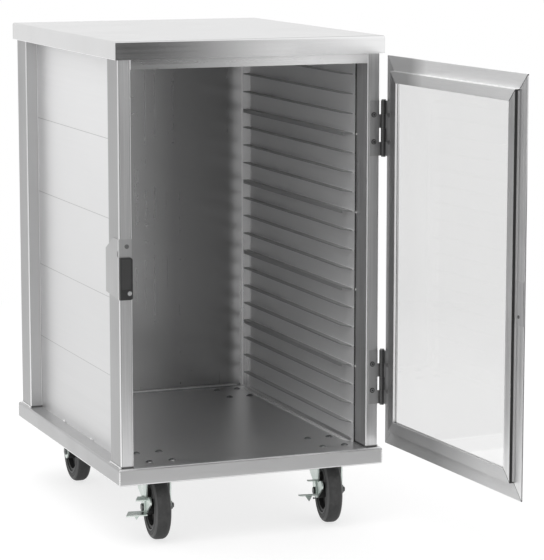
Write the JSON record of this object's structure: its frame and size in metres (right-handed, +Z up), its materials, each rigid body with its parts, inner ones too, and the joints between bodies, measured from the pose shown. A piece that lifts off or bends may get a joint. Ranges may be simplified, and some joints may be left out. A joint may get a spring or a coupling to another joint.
{
  "type": "enclosed bun pan cabinet",
  "caption": "Half-height enclosed aluminium pan cabinet with side ledges, a glazed swing door and braked swivel casters.",
  "frame": {"origin": "on the floor, under the middle of the deck", "axes": "+X to the right seen from the door side, +Y to the back wall, +Z up; the door opens towards -Y"},
  "size_m": [0.5749, 1.2131, 0.9581],
  "materials": {
    "cover_aluminium": "satin mill finish, smooth, slightly rounded folds",
    "deck_aluminium": "satin mill finish with lengthwise rolling grain and scuffs",
    "post_aluminium": "brushed lengthwise",
    "rail_aluminium": "satin mill finish",
    "back_aluminium": "satin sheet, softly reflecting",
    "left_panel_aluminium": "satin extrusion",
    "right_panel_aluminium": "satin extrusion",
    "catch_zinc": "zinc plated",
    "magnet_plastic": "matt black",
    "screw_steel": "plated, recesses dark",
    "hinge_steel": "satin",
    "pin_steel": "drawn, dark",
    "door_rail_aluminium": "brushed crosswise",
    "door_stile_aluminium": "brushed lengthwise",
    "window_clear": "clear polycarbonate",
    "strike_steel": "brushed lengthwise",
    "bolt_steel": "plated",
    "ball_steel": "ground",
    "caster_zinc": "bright zinc plated with a faint green cast",
    "axle_steel": "black oxide",
    "hub_plastic": "matt dark moulding",
    "tyre_rubber": "grey-black rubber, moulded"
  },
  "bodies": {
    "cabinet": {"deck_pan": "deck_aluminium", "cover_pan": "cover_aluminium", "post_front_left": "post_aluminium", "post_front_right": "post_aluminium", "post_rear_left": "post_aluminium", "post_rear_right": "post_aluminium", "header_front": "rail_aluminium", "header_rear": "rail_aluminium", "header_left": "rail_aluminium", "header_right": "rail_aluminium", "back_sheet": "back_aluminium", "left_panel_1": "left_panel_aluminium", "left_panel_2": "left_panel_aluminium", "left_panel_3": "left_panel_aluminium", "left_panel_4": "left_panel_aluminium", "left_panel_5": "left_panel_aluminium", "right_panel_1": "right_panel_aluminium", "right_panel_2": "right_panel_aluminium", "right_panel_3": "right_panel_aluminium", "right_panel_4": "right_panel_aluminium", "right_panel_5": "right_panel_aluminium", "catch_bracket": "catch_zinc", "magnet_block": "magnet_plastic", "frame_screws": "screw_steel", "upper_hinge_frame_leaf": "hinge_steel", "lower_hinge_frame_leaf": "hinge_steel", "hinge_pins": "pin_steel", "caster_bolts": "bolt_steel", "swivel_balls": "ball_steel", "front_left_caster_plate": "caster_zinc", "front_right_caster_plate": "caster_zinc", "rear_left_caster_plate": "caster_zinc", "rear_right_caster_plate": "caster_zinc"},
    "door": {"door_top_rail": "door_rail_aluminium", "door_bottom_rail": "door_rail_aluminium", "door_hinge_stile": "door_stile_aluminium", "door_free_stile": "door_stile_aluminium", "door_window": "window_clear", "upper_hinge_door_leaf": "hinge_steel", "lower_hinge_door_leaf": "hinge_steel", "strike_plate": "strike_steel", "door_rivets": "screw_steel"},
    "front_left_swivel": {"front_left_fork": "caster_zinc", "front_left_axle": "axle_steel"},
    "front_left_wheel": {"front_left_hub": "hub_plastic", "front_left_tyre": "tyre_rubber"},
    "left_brake": {"left_brake_lever": "caster_zinc"},
    "front_right_swivel": {"front_right_fork": "caster_zinc", "front_right_axle": "axle_steel"},
    "front_right_wheel": {"front_right_hub": "hub_plastic", "front_right_tyre": "tyre_rubber"},
    "right_brake": {"right_brake_lever": "caster_zinc"},
    "rear_left_swivel": {"rear_left_fork": "caster_zinc", "rear_left_axle": "axle_steel"},
    "rear_left_wheel": {"rear_left_hub": "hub_plastic", "rear_left_tyre": "tyre_rubber"},
    "rear_right_swivel": {"rear_right_fork": "caster_zinc", "rear_right_axle": "axle_steel"},
    "rear_right_wheel": {"rear_right_hub": "hub_plastic", "rear_right_tyre": "tyre_rubber"}
  },
  "joints": [
    {"name": "door_hinge", "type": "hinge", "parent": "cabinet", "child": "door", "pos_m": [0.27, -0.338, 0.5425], "axis": [0, 0, 1], "range_deg": [-93, 87]},
    {"name": "front_left_swivel", "type": "hinge", "parent": "cabinet", "child": "front_left_swivel", "pos_m": [-0.172, -0.258, 0.1436], "axis": [0, 0, 1], "continuous": true},
    {"name": "front_left_roll", "type": "hinge", "parent": "front_left_swivel", "child": "front_left_wheel", "pos_m": [-0.17392, -0.27791, 0.0635], "axis": [0.9954, -0.0958, 0], "continuous": true},
    {"name": "left_brake", "type": "hinge", "parent": "front_left_swivel", "child": "left_brake", "pos_m": [-0.17392, -0.27791, 0.0635], "axis": [0.9954, -0.0958, 0], "range_deg": [-18, 0]},
    {"name": "front_right_swivel", "type": "hinge", "parent": "cabinet", "child": "front_right_swivel", "pos_m": [0.186, -0.258, 0.1436], "axis": [0, 0, 1], "continuous": true},
    {"name": "front_right_roll", "type": "hinge", "parent": "front_right_swivel", "child": "front_right_wheel", "pos_m": [0.18284, -0.27775, 0.0635], "axis": [0.9874, -0.1582, 0], "continuous": true},
    {"name": "right_brake", "type": "hinge", "parent": "front_right_swivel", "child": "right_brake", "pos_m": [0.18284, -0.27775, 0.0635], "axis": [0.9874, -0.1582, 0], "range_deg": [0, 18]},
    {"name": "rear_left_swivel", "type": "hinge", "parent": "cabinet", "child": "rear_left_swivel", "pos_m": [-0.172, 0.258, 0.1436], "axis": [0, 0, 1], "continuous": true},
    {"name": "rear_left_roll", "type": "hinge", "parent": "rear_left_swivel", "child": "rear_left_wheel", "pos_m": [-0.17287, 0.23802, 0.0635], "axis": [0.999, -0.0436, 0], "continuous": true},
    {"name": "rear_right_swivel", "type": "hinge", "parent": "cabinet", "child": "rear_right_swivel", "pos_m": [0.186, 0.258, 0.1436], "axis": [0, 0, 1], "continuous": true},
    {"name": "rear_right_roll", "type": "hinge", "parent": "rear_right_swivel", "child": "rear_right_wheel", "pos_m": [0.18774, 0.23808, 0.0635], "axis": [0.9962, 0.0872, 0], "continuous": true}
  ]
}
